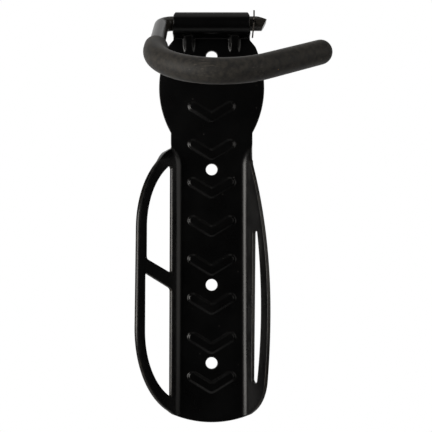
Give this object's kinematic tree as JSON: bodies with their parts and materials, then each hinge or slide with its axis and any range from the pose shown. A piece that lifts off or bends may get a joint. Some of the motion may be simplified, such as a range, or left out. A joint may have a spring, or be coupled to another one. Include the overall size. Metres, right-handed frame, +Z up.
{
  "type": "bicycle wall rack",
  "caption": "Pressed steel wall plate with two flared wings that cradle a wheel and a rubber-sleeved hook that swings in a rolled barrel to hold the rim.",
  "frame": {"origin": "the middle screw hole, which is the centre of the outer pair, on the wall plane behind the backplate", "axes": "+X across the rack to the right as seen from the room, +Y into the wall, +Z up; the hook swings about X"},
  "size_m": [0.1178, 0.0957, 0.268],
  "materials": {
    "powder_coat": "gloss black powder coat",
    "rod_coat": "gloss black paint",
    "sleeve_rubber": "smooth matt rubber",
    "pin_steel": "dark coated steel wire"
  },
  "bodies": {
    "plate": {"backplate": "powder_coat"},
    "hook": {"hook_rod": "rod_coat", "hook_sleeve": "sleeve_rubber", "split_pin": "pin_steel"}
  },
  "joints": [
    {"name": "hook_hinge", "type": "hinge", "parent": "plate", "child": "hook", "pos_m": [0, -0.0101, 0.0957], "axis": [-1, 0, 0], "range_deg": [-53, 124]}
  ]
}
